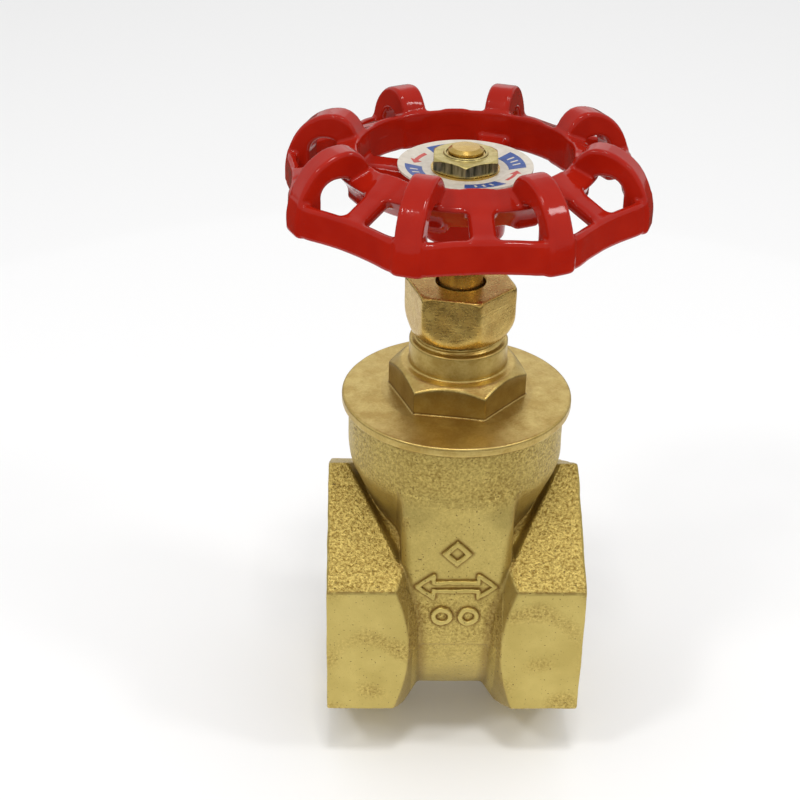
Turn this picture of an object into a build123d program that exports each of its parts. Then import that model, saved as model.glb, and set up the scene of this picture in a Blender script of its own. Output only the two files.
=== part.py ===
"""Brass gate valve with female pipe threads, a screwed bonnet, a stem that turns without
rising, and a cast handwheel.

Millimetres. +X is the flow axis, +Z is the stem axis. Every function works in the valve's own
frame, whose zero height is the flow axis; export() then lifts each piece, so that the lowest
corners of the spanner hexagons lie at z = 0. The gate is modelled shut.
"""

import os
from math import cos, radians, sin, tan

from build123d import *

# ---- pipe ends (G 1 1/2 internal threads) and the cast body ----
BODY_HALF_LENGTH = 28.0
SPANNER_AF = 55.0
THREAD_MINOR_R = 22.42
THREAD_MAJOR_R = 23.9
THREAD_BOTTOM_X = 13.5
MOUTH_CHAMFER = 0.9
BARREL_R = 23.5
WAIST_HALF_X = (10.3, 12.0)  # at the flow axis and from WAIST_WIDE_Z up
WAIST_HALF_Y = 23.6
WAIST_CORNER_R = 3.0
WAIST_WIDE_Z = 22.0
WAIST_FLAT_TOP_Z = 26.0  # above this the flat walls curve into the round neck
NECK_R = 23.5
NECK_START_Z = 36.0
NECK_TOP_Z = 48.0
NECK_FOOT = (16.3, 20.0)  # radius and height where the cone under the neck begins
HEX_INNER_X = 10.2  # inner end of a spanner flat, at its middle
HEX_TURNED_SLOPE = 0.7  # how far the turned shoulder leans, per mm of radius
CLEARED_X = 12.7  # the spanner ends are cleared away for the neck inside this, at CLEARED_Z
CLEARED_Z = 19.9
CLEARED_SLOPE = 0.93
SLEEVE_R = 25.4  # metal kept round each pipe thread
MARK_HEIGHT = 0.6

# ---- waterway, seats and the gate ----
BORE_R = 15.0
SEAT_R = 17.25
CHAMBER_HALF_X = 7.8
CHAMBER_R = 20.5
NECK_BORE_R = 20.25
NECK_BORE_START_Z = 38.0
TAPER = tan(radians(3.0))
GATE_HALF_THICK = 6.7
SEAT_GAP = 0.05
GUIDE_HALF_W = 1.5
GUIDE_INNER_Y = 17.7
GUIDE_Z = (-10.0, 39.0)
EAR_X = (1.8, 4.6)
EAR_Y = (15.0, 19.3)
EAR_Z = (-5.0, 7.0)
BOSS_R = 7.0
BOSS_TOP_Z = 21.5
GATE_NUT_START_Z = 12.0

# ---- bonnet and stuffing box ----
GASKET_T = 0.4
DISC_R = 25.0
DISC_T = 2.1
SPIGOT_R = 20.2
SPIGOT_BORE_R = 17.6
SPIGOT_END_Z = 40.0
BONNET_AF = 26.2
BONNET_HEX_TURN = 20.0
BONNET_HEX_BASE_Z = 51.1
BONNET_HEX_EDGE_Z = 56.0
BONNET_HEX_TOP_Z = 58.1
BONNET_HEX_TOP_R = 12.4
COLLAR_R = 10.6
COLLAR_TOP_Z = 63.8
CAVITY_R = 10.8
CAVITY_TOP_Z = 57.0
POCKET_R = 8.3
POCKET_TOP_Z = 60.0
PACKING_FLOOR_Z = 62.0
PACKING_BORE_R = 7.2
PACKING_WASHER_T = 0.8
PACKING_T = 2.5
PACKING_COUNT = 3
GLAND_THREAD_R = 9.3
GLAND_THREAD_TOP_Z = 72.0
RETAINER_BOTTOM_Z = 54.2

# ---- gland nut ----
GLAND_NUT_AF = 21.1
GLAND_NUT_TURN = 16.5
GLAND_NUT_Z = (65.5, 77.0)
GLAND_NUT_LOW_R = 9.9
GLAND_NUT_CHAMFER_Z = 69.6
GLAND_NUT_CEILING_Z = 74.2
GLAND_HOLE_R = 5.3
FOLLOWER_FLANGE_Z = 73.0
FOLLOWER_FLANGE_R = 8.9

# ---- stem ----
STEM_R = 4.68
STEM_THREAD_R = 4.5
STEM_END_Z = 15.2
STEM_COLLAR_R = 8.0
STEM_COLLAR_TOP_Z = 59.2
SQUARE_HALF = 4.0
WHEEL_SEAT_Z = 88.0
TIP_R = 3.9
TIP_END_R = 3.6
TIP_TOP_Z = 106.9
RUNNING = 0.05  # radial gap of a running or threaded fit

# ---- handwheel ----
LOBES = 8
SPOKES = 4
FIRST_LOBE = -19.5  # degrees from -Y towards +X
WHEEL_R = 38.5
WHEEL_BOTTOM_Z = 94.5
SKIRT_TOP_Z = 101.4
SKIRT_T = 2.0
VALLEY_R = 35.3
LOBE_HALF_W = 2.9
RING_IN_R = 21.8
RING_OUT_R = 27.2
RING_FOOT_R = 23.0
RING_BOTTOM_Z = 98.8
RING_TOP_Z = 106.5
ROOF_FALL = 0.43  # drop of the roof from the ring to the skirt, per mm of radius
ARCH_PEAK_R = 27.2
ARCH_PEAK_Z = 110.7
ARCH_OUTER_DROP = 13.7
ARCH_INNER_DROP = 7.5
ARCH_OPENING_R = (25.3, 33.0)
ARCH_OPENING_TOP_Z = 105.3
ARCH_HALF_W = 2.8
STRIP_HALF_W = 2.6
STRIP_T = 2.7
HUB_R = 9.2
HUB_TOP_Z = 101.6
SPOKE_HALF_W = 4.0
SPOKE_Z = (97.2, 101.2)

# ---- nameplate, washer and wheel nut ----
NAMEPLATE_R = 13.8
NAMEPLATE_T = 0.4
NAMEPLATE_FLAT_R = 8.6
NAMEPLATE_DISH = 0.95
WHEEL_WASHER_R = 7.0
WHEEL_WASHER_T = 0.4
WHEEL_NUT_AF = 13.0
WHEEL_NUT_T = 2.8
WHEEL_NUT_LIP_R = 4.5
WHEEL_NUT_LIP_T = 0.45
WHEEL_NUT_TURN = -3.0

HEX = 1 / cos(radians(30))  # corner radius over half the width across flats
FLOW_Z = SPANNER_AF / 2 * HEX
BIG = 120.0


def export(node, shape):
    """Lift a piece from the flow-axis frame to the ground frame and write it."""
    export_step(Pos(0, 0, FLOW_Z) * shape, f"parts/{node}.step")


def rod(radius, z_low, z_high):
    """A solid cylinder on the stem axis between two heights."""
    return Pos(0, 0, (z_low + z_high) / 2) * Cylinder(radius, z_high - z_low)


def tube(r_in, r_out, z_low, z_high):
    return rod(r_out, z_low, z_high) - rod(r_in, z_low - 1, z_high + 1)


def cross_rod(radius, x_low, x_high):
    """A solid cylinder on the flow axis between two stations."""
    return Pos((x_low + x_high) / 2, 0, 0) * Rot(0, 90, 0) * Cylinder(radius, x_high - x_low)


def block(x, y, z):
    """A box from (low, high) pairs."""
    size = [pair[1] - pair[0] for pair in (x, y, z)]
    middle = [(pair[1] + pair[0]) / 2 for pair in (x, y, z)]
    return Pos(*middle) * Box(*size)


def turned(points):
    """Turn a closed outline of (radius, height) points about the stem axis."""
    return revolve(Plane.XZ * make_face(Polyline(*points, close=True)), Axis.Z)


def hex_rod(across_flats, turn, z_low, z_high):
    """A hexagonal bar on the stem axis with one corner turned from -Y towards +X."""
    outline = Rot(0, 0, turn - 90) * RegularPolygon(across_flats / 2 * HEX, 6)
    return extrude(Pos(0, 0, z_low) * outline, z_high - z_low)


def at_azimuth(angle, shape):
    """Turn a shape made along +X so that it points along an azimuth from -Y towards +X."""
    return Rot(0, 0, angle - 90) * shape


# ---- body ----
def spanner_end():
    """The hexagonal end on the +X side, its inner shoulder turned to a shallow cone."""
    corner = SPANNER_AF / 2 * HEX
    bar = extrude(Plane.YZ * RegularPolygon(corner, 6, rotation=90), BODY_HALF_LENGTH)
    apex_x = HEX_INNER_X - HEX_TURNED_SLOPE * SPANNER_AF / 2
    rim = corner + 0.5
    outline = [
        (apex_x, 0),
        (apex_x + HEX_TURNED_SLOPE * rim, rim),
        (BODY_HALF_LENGTH - 0.9, rim),
        (BODY_HALF_LENGTH, rim - 0.9),
        (BODY_HALF_LENGTH, 0),
    ]
    envelope = revolve(Plane.XZ * make_face(Polyline(*outline, close=True)), Axis.X)
    return (bar & envelope) - neck_clearance()


def neck_clearance():
    """The sloping space between the neck and the +X spanner end, outside the thread's sleeve."""
    low = CLEARED_Z - CLEARED_X / CLEARED_SLOPE
    high = CLEARED_Z + (BODY_HALF_LENGTH - CLEARED_X) / CLEARED_SLOPE
    outline = [(0, low), (BODY_HALF_LENGTH, high), (0, high)]
    space = extrude(Plane.XZ * make_face(Polyline(*outline, close=True)), SPANNER_AF, both=True)
    return space - cross_rod(SLEEVE_R, -1, BODY_HALF_LENGTH + 1)


def waist():
    """The narrow middle: a barrel round the flow axis and two flat walls under the round neck."""
    barrel = cross_rod(BARREL_R, -HEX_INNER_X - 1, HEX_INNER_X + 1)
    low, high = (RectangleRounded(2 * x, 2 * WAIST_HALF_Y, WAIST_CORNER_R) for x in WAIST_HALF_X)
    walls = loft([low, Pos(0, 0, WAIST_WIDE_Z) * high])
    walls += Pos(0, 0, WAIST_WIDE_Z) * extrude(high, NECK_START_Z - WAIST_WIDE_Z)
    outline = [(0, 0), (30, 0), (30, WAIST_FLAT_TOP_Z - 1), (26.9, WAIST_FLAT_TOP_Z)]
    outline += [(NECK_R, NECK_START_Z), (0, NECK_START_Z)]
    walls &= turned(outline)
    foot = [(0, NECK_FOOT[1]), NECK_FOOT, (NECK_R, NECK_START_Z), (NECK_R, NECK_TOP_Z)]
    return barrel + walls + turned(foot + [(0, NECK_TOP_Z)])


def wedge_prism(half_thick, z_low, z_high, half_y):
    """A block between two planes that lean apart upwards like the gate's faces."""
    low = half_thick + z_low * TAPER
    high = half_thick + z_high * TAPER
    outline = [(-low, z_low), (low, z_low), (high, z_high), (-high, z_high)]
    return extrude(Plane.XZ * make_face(Polyline(*outline, close=True)), half_y, both=True)


def seats():
    """Both integral seat rings, faced to the gate's taper with a small gap."""
    ring = cross_rod(SEAT_R, -CHAMBER_HALF_X - 1, CHAMBER_HALF_X + 1)
    ring -= cross_rod(BORE_R, -BIG, BIG)
    return ring - wedge_prism(GATE_HALF_THICK + SEAT_GAP, -CHAMBER_R, CHAMBER_R, CHAMBER_R)


def thread_bore():
    """The space that the +X pipe thread takes: a plain wall at its minor radius."""
    bore = cross_rod(THREAD_MINOR_R, THREAD_BOTTOM_X, BODY_HALF_LENGTH + 1)
    mouth = [
        (BODY_HALF_LENGTH - MOUTH_CHAMFER, 0),
        (BODY_HALF_LENGTH - MOUTH_CHAMFER, THREAD_MINOR_R),
        (BODY_HALF_LENGTH, THREAD_MAJOR_R),
        (BODY_HALF_LENGTH + 1, THREAD_MAJOR_R),
        (BODY_HALF_LENGTH + 1, 0),
    ]
    return bore + revolve(Plane.XZ * make_face(Polyline(*mouth, close=True)), Axis.X)


def guide_rib():
    """The +Y rib that keeps the gate square in its chamber."""
    wall_y = NECK_BORE_R + 0.8
    return block((-GUIDE_HALF_W, GUIDE_HALF_W), (GUIDE_INNER_Y, wall_y), GUIDE_Z)


def cast_marks():
    """Plain relief on both walls: a lozenge, an arrow for flow either way, and two dots."""
    wall = Plane((0, -WAIST_HALF_Y + 0.3, 0), x_dir=(1, 0, 0), z_dir=(0, -1, 0))
    arrow = [(-9, 0), (-5.5, 3), (-5.5, 1), (5.5, 1), (5.5, 3), (9, 0)]
    arrow += [(x, -y) for x, y in arrow[-2:0:-1]]
    outlines = Pos(0, 14.8) * make_face(Polyline(*arrow, close=True))
    outlines += Pos(0, 23.6) * Rot(0, 0, 45) * Rectangle(4, 4)
    outlines += Pos(-2.5, 7) * Circle(1.2) + Pos(2.5, 7) * Circle(1.2)
    marks = extrude(wall * outlines, MARK_HEIGHT + 0.3)
    return marks + Rot(0, 0, 180) * marks


def body():
    shell = waist() + spanner_end() + mirror(spanner_end(), Plane.YZ) + cast_marks()
    chamber = cross_rod(CHAMBER_R, -CHAMBER_HALF_X, CHAMBER_HALF_X)
    chamber += block(
        (-CHAMBER_HALF_X, CHAMBER_HALF_X), (-CHAMBER_R, CHAMBER_R), (0, NECK_BORE_START_Z + 1)
    )
    chamber += rod(NECK_BORE_R, NECK_BORE_START_Z, NECK_TOP_Z + 1)
    ribs = guide_rib() + mirror(guide_rib(), Plane.XZ)
    shell = shell - chamber + seats() + ribs
    shell -= cross_rod(BORE_R, -BODY_HALF_LENGTH, BODY_HALF_LENGTH)
    return shell - thread_bore() - mirror(thread_bore(), Plane.YZ)


# ---- gate ----
def wedge_gate():
    disc = wedge_prism(GATE_HALF_THICK, -SEAT_R, SEAT_R, SEAT_R) & cross_rod(SEAT_R, -10, 10)
    gate = disc + rod(BOSS_R, 0, BOSS_TOP_Z)
    ear = block(EAR_X, EAR_Y, EAR_Z)
    for turn in (0, 180):
        gate += Rot(0, 0, turn) * (ear + mirror(ear, Plane.YZ))
    gate -= rod(STEM_THREAD_R + RUNNING, -BIG, BIG)
    return gate - rod(STEM_THREAD_R + 6 * RUNNING, -BIG, GATE_NUT_START_Z)


# ---- bonnet ----
def bonnet():
    disc_bottom = NECK_TOP_Z + GASKET_T
    outside = turned(
        [
            (0, SPIGOT_END_Z),
            (SPIGOT_R, SPIGOT_END_Z),
            (SPIGOT_R, disc_bottom),
            (DISC_R, disc_bottom),
            (DISC_R, disc_bottom + DISC_T),
            (BONNET_AF / 2, BONNET_HEX_BASE_Z),
            (0, BONNET_HEX_BASE_Z),
        ]
    )
    corner = BONNET_AF / 2 * HEX
    crown = turned(
        [
            (0, BONNET_HEX_BASE_Z),
            (corner + 0.1, BONNET_HEX_BASE_Z),
            (corner + 0.1, BONNET_HEX_EDGE_Z),
            (BONNET_HEX_TOP_R, BONNET_HEX_TOP_Z),
            (0, BONNET_HEX_TOP_Z),
        ]
    )
    hexagon = hex_rod(BONNET_AF, BONNET_HEX_TURN, BONNET_HEX_BASE_Z - 0.5, BONNET_HEX_TOP_Z)
    outside += hexagon & (crown + rod(corner, BONNET_HEX_BASE_Z - 0.5, BONNET_HEX_BASE_Z))
    outside += rod(COLLAR_R, BONNET_HEX_BASE_Z, COLLAR_TOP_Z)
    outside += rod(GLAND_THREAD_R, BONNET_HEX_BASE_Z, GLAND_THREAD_TOP_Z)
    inside = rod(SPIGOT_BORE_R, SPIGOT_END_Z - 1, disc_bottom - 0.1)
    inside += rod(CAVITY_R, SPIGOT_END_Z, CAVITY_TOP_Z) + rod(POCKET_R, SPIGOT_END_Z, POCKET_TOP_Z)
    inside += rod(STEM_R + RUNNING, SPIGOT_END_Z, BIG)
    return outside - inside - rod(PACKING_BORE_R, PACKING_FLOOR_Z, BIG)


def bonnet_gasket():
    return tube(NECK_BORE_R + 0.3, NECK_R - 0.3, NECK_TOP_Z, NECK_TOP_Z + GASKET_T)


def stem_retaining_nut():
    """A threaded ring under the stem's collar, with a slot across it for a driver."""
    nut = tube(STEM_THREAD_R + 5 * RUNNING, CAVITY_R - RUNNING, RETAINER_BOTTOM_Z, CAVITY_TOP_Z)
    slot_z = (RETAINER_BOTTOM_Z - 1, RETAINER_BOTTOM_Z + 1.2)
    return nut - block((-BIG, BIG), (-1.3, 1.3), slot_z)


def thrust_washer():
    return tube(STEM_R + RUNNING, POCKET_R - 0.1, STEM_COLLAR_TOP_Z + RUNNING, POCKET_TOP_Z)


def packing_washer():
    top = PACKING_FLOOR_Z + PACKING_WASHER_T
    return tube(STEM_R + RUNNING, PACKING_BORE_R - RUNNING, PACKING_FLOOR_Z, top)


def packing_ring(index):
    """One square-section ring of the stem packing, counted from the bottom."""
    low = PACKING_FLOOR_Z + PACKING_WASHER_T + index * PACKING_T
    return tube(STEM_R + RUNNING, PACKING_BORE_R - RUNNING / 2, low, low + PACKING_T)


def gland_follower():
    """The flanged bush that the gland nut presses down on the packing."""
    low = PACKING_FLOOR_Z + PACKING_WASHER_T + PACKING_COUNT * PACKING_T
    bush = rod(PACKING_BORE_R - RUNNING, low, GLAND_NUT_CEILING_Z)
    bush += rod(FOLLOWER_FLANGE_R, FOLLOWER_FLANGE_Z, GLAND_NUT_CEILING_Z)
    return bush - rod(STEM_R + 2 * RUNNING, 0, BIG)


def gland_nut():
    low, high = GLAND_NUT_Z
    corner = GLAND_NUT_AF / 2 * HEX
    envelope = turned(
        [
            (0, low),
            (GLAND_NUT_LOW_R, low),
            (corner, GLAND_NUT_CHAMFER_Z),
            (corner, high - 0.5),
            (corner - 0.8, high),
            (0, high),
        ]
    )
    nut = hex_rod(GLAND_NUT_AF, GLAND_NUT_TURN, low, high) & envelope
    nut -= rod(GLAND_THREAD_R + RUNNING, 0, GLAND_NUT_CEILING_Z)
    return nut - rod(GLAND_HOLE_R, 0, BIG)


# ---- stem ----
def square_end(half, radius, z_low, z_high):
    """A shaft end squared by four flats that leave round corners."""
    return block((-half, half), (-half, half), (z_low, z_high)) & rod(radius, z_low, z_high)


def stem():
    spindle = rod(STEM_THREAD_R, STEM_END_Z, CAVITY_TOP_Z + RUNNING)
    spindle += rod(STEM_COLLAR_R, CAVITY_TOP_Z + RUNNING, STEM_COLLAR_TOP_Z)
    spindle += rod(STEM_R, STEM_COLLAR_TOP_Z, WHEEL_SEAT_Z)
    spindle += square_end(SQUARE_HALF, STEM_R, WHEEL_SEAT_Z, HUB_TOP_Z)
    tip = [
        (0, HUB_TOP_Z),
        (TIP_R, HUB_TOP_Z),
        (TIP_R, TIP_TOP_Z - 1.6),
        (TIP_END_R, TIP_TOP_Z - 1.6),
        (TIP_END_R, TIP_TOP_Z - 0.8),
        (TIP_END_R - 0.8, TIP_TOP_Z - 0.2),
        (0, TIP_TOP_Z),
    ]
    return spindle + turned(tip)


# ---- handwheel ----
def lobed_outline(tip_r, valley_r, half_w):
    """The star-shaped outline: flat-tipped lobes joined by hollow arcs."""
    edges = []
    step = 360 / LOBES
    for index in range(LOBES):
        angle = index * step
        start = Vector(tip_r, -half_w).rotate(Axis.Z, angle)
        end = Vector(tip_r, half_w).rotate(Axis.Z, angle)
        valley = Vector(valley_r, 0).rotate(Axis.Z, angle + step / 2)
        after = Vector(tip_r, -half_w).rotate(Axis.Z, angle + step)
        edges += [Line(start, end), ThreePointArc(end, valley, after)]
    return make_face(edges)


def skirt():
    inner_half_w = LOBE_HALF_W - SKIRT_T * tan(radians(180 / LOBES))
    outline = lobed_outline(WHEEL_R, VALLEY_R, LOBE_HALF_W)
    outline -= lobed_outline(WHEEL_R - SKIRT_T, VALLEY_R - SKIRT_T, inner_half_w)
    return extrude(Pos(0, 0, WHEEL_BOTTOM_Z) * outline, SKIRT_TOP_Z - WHEEL_BOTTOM_Z)


def inner_ring():
    """The band inside the loops, its top sloping outwards and its outer wall leaning out."""
    rim_z = RING_TOP_Z - ROOF_FALL * (RING_OUT_R - RING_IN_R - 0.6)
    return turned(
        [
            (RING_IN_R, RING_BOTTOM_Z),
            (RING_FOOT_R, RING_BOTTOM_Z),
            (RING_OUT_R, rim_z - 0.6),
            (RING_OUT_R, rim_z),
            (RING_IN_R + 0.6, RING_TOP_Z),
            (RING_IN_R, RING_TOP_Z - 0.6),
        ]
    )


def quarter_ellipse(span, drop):
    """A quarter of an ellipse whose top is the arch's peak; a negative span leans inwards."""
    ellipse = Pos(ARCH_PEAK_R, ARCH_PEAK_Z - drop) * Ellipse(abs(span), drop)
    quarter = Pos(ARCH_PEAK_R + span / 2, ARCH_PEAK_Z - drop / 2) * Rectangle(abs(span), drop)
    return ellipse & quarter


def panel(r, z):
    """A rectangle in the radius and height plane, from (low, high) pairs."""
    middle = Pos((r[0] + r[1]) / 2, (z[0] + z[1]) / 2)
    return middle * Rectangle(r[1] - r[0], z[1] - z[0])


def arch():
    """One loop over the +X direction, from the inner ring over and down to the skirt."""
    ring_r, low, high = ARCH_OPENING_R[0], ARCH_PEAK_Z - ARCH_OUTER_DROP, ARCH_PEAK_Z - ARCH_INNER_DROP
    outline = quarter_ellipse(WHEEL_R - ARCH_PEAK_R, ARCH_OUTER_DROP)
    outline += quarter_ellipse(RING_IN_R - ARCH_PEAK_R, ARCH_INNER_DROP)
    outline += panel((RING_IN_R, ring_r), (RING_BOTTOM_Z + 2, high))
    outline += panel((ring_r, ARCH_PEAK_R), (high - 0.5, high))
    outline += panel((ARCH_PEAK_R, WHEEL_R), (WHEEL_BOTTOM_Z, low))
    width = ARCH_OPENING_R[1] - ring_r
    opening = RectangleRounded(width, 40, 3.6)
    outline -= Pos(ring_r + width / 2, ARCH_OPENING_TOP_Z - 20) * opening
    return extrude(Plane.XZ * outline, ARCH_HALF_W, both=True)


def strip():
    """One sloping bar over the +X direction, from the inner ring down to the skirt's valley."""
    inner_r = RING_IN_R + 0.6
    outer_r = VALLEY_R - 0.4
    outer_z = RING_TOP_Z - ROOF_FALL * (outer_r - inner_r)
    outline = [
        (inner_r, RING_TOP_Z),
        (outer_r, outer_z),
        (outer_r, outer_z - STRIP_T),
        (inner_r, RING_TOP_Z - STRIP_T),
    ]
    return extrude(Plane.XZ * make_face(Polyline(*outline, close=True)), STRIP_HALF_W, both=True)


def handwheel():
    wheel = skirt() + inner_ring()
    step = 360 / LOBES
    for index in range(LOBES):
        wheel += Rot(0, 0, index * step) * arch()
        wheel += Rot(0, 0, (index + 0.5) * step) * strip()
    spoke = block((0, RING_IN_R + 1), (-SPOKE_HALF_W, SPOKE_HALF_W), SPOKE_Z)
    for index in range(SPOKES):
        wheel += Rot(0, 0, index * 360 / SPOKES) * spoke
    wheel += rod(HUB_R, WHEEL_SEAT_Z, HUB_TOP_Z)
    wheel = at_azimuth(FIRST_LOBE, wheel)
    return wheel - square_end(SQUARE_HALF + RUNNING, STEM_R + RUNNING, 0, BIG)


def nameplate():
    """A thin disc, flat under the washer and dished upwards outside it."""
    hole_r = TIP_R + 0.2
    under = [(hole_r, 0), (NAMEPLATE_FLAT_R, 0), (NAMEPLATE_R, NAMEPLATE_DISH)]
    outline = under + [(r, z + NAMEPLATE_T) for r, z in reversed(under)]
    return turned([(r, HUB_TOP_Z + z) for r, z in outline])


def wheel_washer():
    low = HUB_TOP_Z + NAMEPLATE_T
    return tube(TIP_R + 0.2, WHEEL_WASHER_R, low, low + WHEEL_WASHER_T)


def wheel_nut():
    low = HUB_TOP_Z + NAMEPLATE_T + WHEEL_WASHER_T
    high = low + WHEEL_NUT_T
    corner = WHEEL_NUT_AF / 2 * HEX
    crown = [(0, low), (corner, low), (corner, high - 0.5), (corner - 0.9, high), (0, high)]
    nut = hex_rod(WHEEL_NUT_AF, WHEEL_NUT_TURN, low, high) & turned(crown)
    nut += rod(WHEEL_NUT_LIP_R, high - 0.5, high + WHEEL_NUT_LIP_T)
    return nut - rod(TIP_R + RUNNING, 0, BIG)


def main():
    os.makedirs("parts", exist_ok=True)
    pieces = {
        "body": body(),
        "wedge_gate": wedge_gate(),
        "bonnet": bonnet(),
        "bonnet_gasket": bonnet_gasket(),
        "stem_retaining_nut": stem_retaining_nut(),
        "thrust_washer": thrust_washer(),
        "packing_washer": packing_washer(),
        "gland_follower": gland_follower(),
        "gland_nut": gland_nut(),
        "stem": stem(),
        "handwheel": handwheel(),
        "nameplate": nameplate(),
        "wheel_washer": wheel_washer(),
        "wheel_nut": wheel_nut(),
    }
    for index in range(PACKING_COUNT):
        pieces[f"packing_ring_{index + 1}"] = packing_ring(index)
    for node, shape in pieces.items():
        export(node, shape)


main()
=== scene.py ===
"""Looks for the brass gate valve: castings, machined parts, threads, red wheel and nameplate."""

from math import cos, pi, radians, sin, sqrt, tan

import bmesh
import bpy
import numpy as np
from mathutils import Matrix, Vector


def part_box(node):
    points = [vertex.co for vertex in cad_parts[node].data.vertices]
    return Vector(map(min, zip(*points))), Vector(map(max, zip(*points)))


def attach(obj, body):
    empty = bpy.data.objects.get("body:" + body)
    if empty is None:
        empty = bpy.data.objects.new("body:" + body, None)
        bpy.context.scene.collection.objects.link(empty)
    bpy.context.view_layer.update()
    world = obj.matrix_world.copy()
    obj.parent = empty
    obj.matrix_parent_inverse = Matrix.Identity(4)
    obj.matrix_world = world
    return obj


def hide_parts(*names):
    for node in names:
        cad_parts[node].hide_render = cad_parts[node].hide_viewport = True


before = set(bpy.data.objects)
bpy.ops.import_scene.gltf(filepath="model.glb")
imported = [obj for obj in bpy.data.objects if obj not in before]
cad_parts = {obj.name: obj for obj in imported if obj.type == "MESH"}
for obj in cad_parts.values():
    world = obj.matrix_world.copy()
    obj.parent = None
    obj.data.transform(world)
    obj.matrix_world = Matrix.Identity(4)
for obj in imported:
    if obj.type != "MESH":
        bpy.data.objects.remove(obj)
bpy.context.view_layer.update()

MM = 0.001

# ---- sizes in mm, in the valve's own frame: the flow axis is at height 0 ----
HALF_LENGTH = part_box("body")[1].x / MM
FLAT_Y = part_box("body")[1].y / MM
FLOW_Z = FLAT_Y / cos(radians(30))
BARREL_R = 23.5
WAIST_X = (10.3, 12.0)
WAIST_Y = 23.6
WAIST_WIDE_Z = 22
WAIST_CORNER = 3.0
CURVED_FOOT = (26.9, 26)
CURVED_SLOPE = 0.34
NECK_Z = (36.0, 48.0)
NECK_FOOT = (16.3, 20)
NECK_SLOPE = 0.45
LEDGE_Z = 35.3
LEDGE_R = 0.32
LEDGE_HALF_X = 7.6
SHOULDER_X = 10.2
SHOULDER_SLOPE = 0.7
CLEARED_FOOT = (12.7, 19.9)
CLEARED_SLOPE = 0.93
CLEARED_RIM = 1.3
MARK_HALF = 0.55
MARK_HEIGHT = 0.6
MARK_ROOT = 0.6

# the waterway, the gate's chamber and the threads
BORE_R = 15.0
SEAT_R = 17.25
CHAMBER_X = 7.8
CHAMBER_R = 20.5
CHAMBER_TOP = 39
NECK_BORE_R = 20.25
NECK_BORE_Z = 38
TAPER = tan(radians(3))
GATE_HALF = 6.7
RIB_HALF_X = 1.5
RIB_Y = 17.7
RIB_FOOT_Z = -10
THREAD_BOTTOM_X = 13.5
SLEEVE_R = 24.1
THREAD_MINOR_R = 22.42
THREAD_MAJOR_R = 23.9
THREAD_WALL = 0.25
PIPE_PITCH = 2.309
STEM_R = 4.68
STEM_GAP = 0.05

DISC_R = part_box("bonnet")[1].x / MM
DISC_Z = (48.4, 50.5)
DISC_SLOPE = 0.05
SPIGOT_R = 20.2
SPIGOT_Z = (40, 49)
BONNET_BORES = ((17.6, 48.3), (10.8, 57), (8.3, 60))
PACKING_R = 7.2
PACKING_FOOT = 62
BONNET_AF = 26.2
BONNET_TURN = 20.0
BONNET_HEX_Z = (51.1, 56.0, 58.1)
BONNET_TOP_R = 12.4
COLLAR_R = 10.6
COLLAR_TOP = 63.8
GLAND_THREAD_R = 9.3
GLAND_THREAD_DEPTH = 0.75
GLAND_THREAD_TOP = 72.0
GLAND_PITCH = 1.5

GLAND_AF = 21.1
GLAND_TURN = 16.5
GLAND_Z = (65.5, 77.0)
GLAND_BALL = (12.4, 10.1)
GLAND_BALL_Z = 71.5
GLAND_CORNER_R = 12.18
GLAND_CHAMFER = 0.75
GLAND_BORE = (9.35, 74.2)
GLAND_HOLE_R = 5.3

FIRST_LOBE = radians(-19.5 - 90)
WHEEL_R = 38.5
WHEEL_Z = (94.5, 101.4)
RING_R = (21.8, 27.3)
RING_FOOT_R = 23.0
RING_Z = (98.8, 106.5)
RING_TOP_R = 22.4
ROOF_FALL = 0.43
VALLEY_R = 35.3
SKIRT_T = 2.0
LOBE_LEAN = (0.3, 0.6, 97.5)
LOBE_HALF_W = 2.9
STRIP_HALF_W = 2.6
STRIP_DEPTH = 2.7
ARCH_PEAK = (27.2, 110.62)
ARCH_DROP = (7.5, 13.7)
ARCH_HALF_W = 2.75
LEG_DROP = 4.3
LEG_R = (31, 33)
WINDOW_MIDDLE = (29.15, 85.2)
WINDOW_HALF = (3.85, 20)
WINDOW_CORNER = 3.6
HUB_R = 9.2
HUB_Z = (88.0, 101.6)
HUB_TAPER = 0.04
SPOKE_HALF_W = 4.0
SPOKE_TAPER = 0.06
SPOKE_Z = 99.2
SPOKE_HALF_T = 2.0
SOCKET_HALF = 4.05

PLATE_Z = 102.0
PLATE_FLAT_R = 8.6
PLATE_SLOPE = 0.95 / 5.2
WHEEL_NUT_AF = 13.0
WHEEL_NUT_TURN = -3.0
WHEEL_NUT_Z = (102.4, 105.2)
WHEEL_NUT_LIP = (4.5, 0.45)
WHEEL_NUT_BORE = 3.95

# the nameplate's print: radii, half angles in degrees, and heights over the plate
BLOCK_R = (8.8, 12.3)
BLOCK_HALF = 21
BAR_R = (9.8, 11.4)
BAR_HALF = 1.3
BAR_STEP = 9
ARROW_R = (10.1, 10.9)
ARROW_SWEEP = (-14, 8)
HEAD_R = ((9.3, 10.4), (11.7, 10.6))
HEAD_SWEEP = 9
PRINT_LIFT = (-0.05, 0.03)
OVERPRINT_LIFT = (0, 0.045)


# ---- solid shapes as distance fields, in mm ----
def hi(a, b, k=0.0):
    """The larger of two fields, rounded over a width k: where both are solid, an outer edge."""
    if k <= 0:
        return np.maximum(a, b)
    h = np.clip(0.5 + 0.5 * (a - b) / k, 0, 1)
    return b + (a - b) * h + k * h * (1 - h)


def lo(a, b, k=0.0):
    """The smaller of two fields: a union with a fillet of width k."""
    return -hi(-a, -b, k)


def slab(v, low, high):
    return np.maximum(low - v, v - high)


def ramp(v, low, high):
    """0 below low, 1 above high, smooth between."""
    t = np.clip((v - low) / (high - low), 0, 1)
    return t * t * (3 - 2 * t)


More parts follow.
